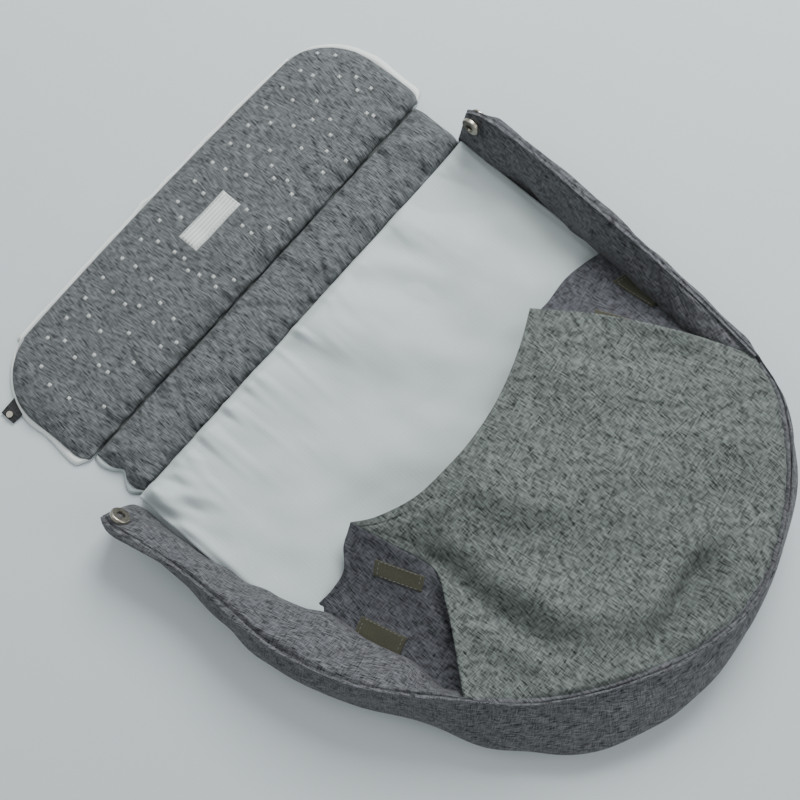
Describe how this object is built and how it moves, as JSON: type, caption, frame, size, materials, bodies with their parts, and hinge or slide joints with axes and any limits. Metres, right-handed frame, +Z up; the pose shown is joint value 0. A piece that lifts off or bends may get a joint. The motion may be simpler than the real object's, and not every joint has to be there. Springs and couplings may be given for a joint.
{
  "type": "carrycot apron",
  "caption": "Padded carrycot apron lying inside up, with a quilted fold-over collar, folding side walls, press studs and a foot pouch with fastening wings.",
  "frame": {"origin": "under the middle of the outline, on the floor it lies on", "axes": "+Y to the collar at the head end, -Y to the foot, +X to the right wall, +Z up out of the lining"},
  "size_m": [0.4167, 0.545, 0.057],
  "materials": {
    "grey_cloth": "melange woven polyester, matte",
    "white_lining": "plain woven cotton, matte",
    "grey_lining": "plain woven polyester, matte",
    "wadding": "needled polyester wadding",
    "white_piping": "white bound edge",
    "embroidery": "white satin stitch",
    "badge": "blank woven label",
    "hook_and_loop": "dark olive hook tape",
    "stud_metal": "nickel-plated brass",
    "spring_wire": "spring wire",
    "tab_cloth": "dark grey woven tape",
    "tab_stud": "dark painted"
  },
  "bodies": {
    "apron_body": {"base_outer_shell": "grey_cloth", "base_wadding": "wadding", "base_lining": "white_lining", "foot_wall_cover": "grey_cloth", "foot_wall_wadding": "wadding", "foot_wall_facing": "grey_cloth", "foot_rim_binding": "grey_cloth", "pouch_rear_panel": "grey_cloth", "pouch_rear_lining": "grey_lining"},
    "collar_strip": {"strip_cover": "grey_cloth", "strip_wadding": "wadding", "strip_back_lining": "white_lining"},
    "collar_flap": {"flap_cover": "grey_cloth", "flap_wadding": "wadding", "flap_back_lining": "white_lining", "flap_piping": "white_piping", "flap_badge": "badge", "embroidered_squares": "embroidery", "flap_tab": "tab_cloth", "flap_tab_stud": "tab_stud"},
    "pouch_front": {"pouch_front_panel": "grey_cloth", "pouch_front_lining": "grey_lining", "pouch_mouth_hem": "grey_cloth"},
    "left_wall": {"left_wall_cover": "grey_cloth", "left_wall_facing": "grey_cloth", "left_wall_wadding": "wadding", "left_stud_cap": "stud_metal", "left_stud_washer": "stud_metal", "left_stud_socket": "stud_metal", "left_stud_spring": "spring_wire"},
    "left_wing": {"left_wing_panel": "grey_cloth", "left_wing_hem": "grey_cloth", "left_wing_front_patch": "hook_and_loop", "left_wing_rear_patch": "hook_and_loop"},
    "right_wall": {"right_wall_cover": "grey_cloth", "right_wall_facing": "grey_cloth", "right_wall_wadding": "wadding", "right_stud_cap": "stud_metal", "right_stud_washer": "stud_metal", "right_stud_socket": "stud_metal", "right_stud_spring": "spring_wire"},
    "right_wing": {"right_wing_panel": "grey_cloth", "right_wing_hem": "grey_cloth", "right_wing_front_patch": "hook_and_loop", "right_wing_rear_patch": "hook_and_loop"}
  },
  "joints": [
    {"name": "collar_fold", "type": "hinge", "parent": "apron_body", "child": "collar_strip", "pos_m": [0, 0.1225, 0.007], "axis": [1, 0, 0], "range_deg": [0, 90]},
    {"name": "flap_fold", "type": "hinge", "parent": "collar_strip", "child": "collar_flap", "pos_m": [0, 0.1705, 0.007], "axis": [-1, 0, 0], "range_deg": [-85, 0]},
    {"name": "left_wall_fold", "type": "hinge", "parent": "apron_body", "child": "left_wall", "pos_m": [-0.181, 0.04025, 0.004], "axis": [0, -1, 0], "range_deg": [-43, 37]},
    {"name": "right_wall_fold", "type": "hinge", "parent": "apron_body", "child": "right_wall", "pos_m": [0.191, 0.04025, 0.004], "axis": [0, 1, 0], "range_deg": [-11, 69]},
    {"name": "pouch_open", "type": "hinge", "parent": "apron_body", "child": "pouch_front", "pos_m": [0, -0.15, 0.056], "axis": [1, 0, 0], "range_deg": [0, 120]},
    {"name": "left_wing_fold", "type": "hinge", "parent": "pouch_front", "child": "left_wing", "pos_m": [-0.1, -0.01, 0.056], "axis": [0.3276, 0.9448, 0], "range_deg": [0, 150]},
    {"name": "right_wing_fold", "type": "hinge", "parent": "pouch_front", "child": "right_wing", "pos_m": [0.1, -0.01, 0.056], "axis": [0.3276, -0.9448, 0], "range_deg": [0, 150]}
  ]
}
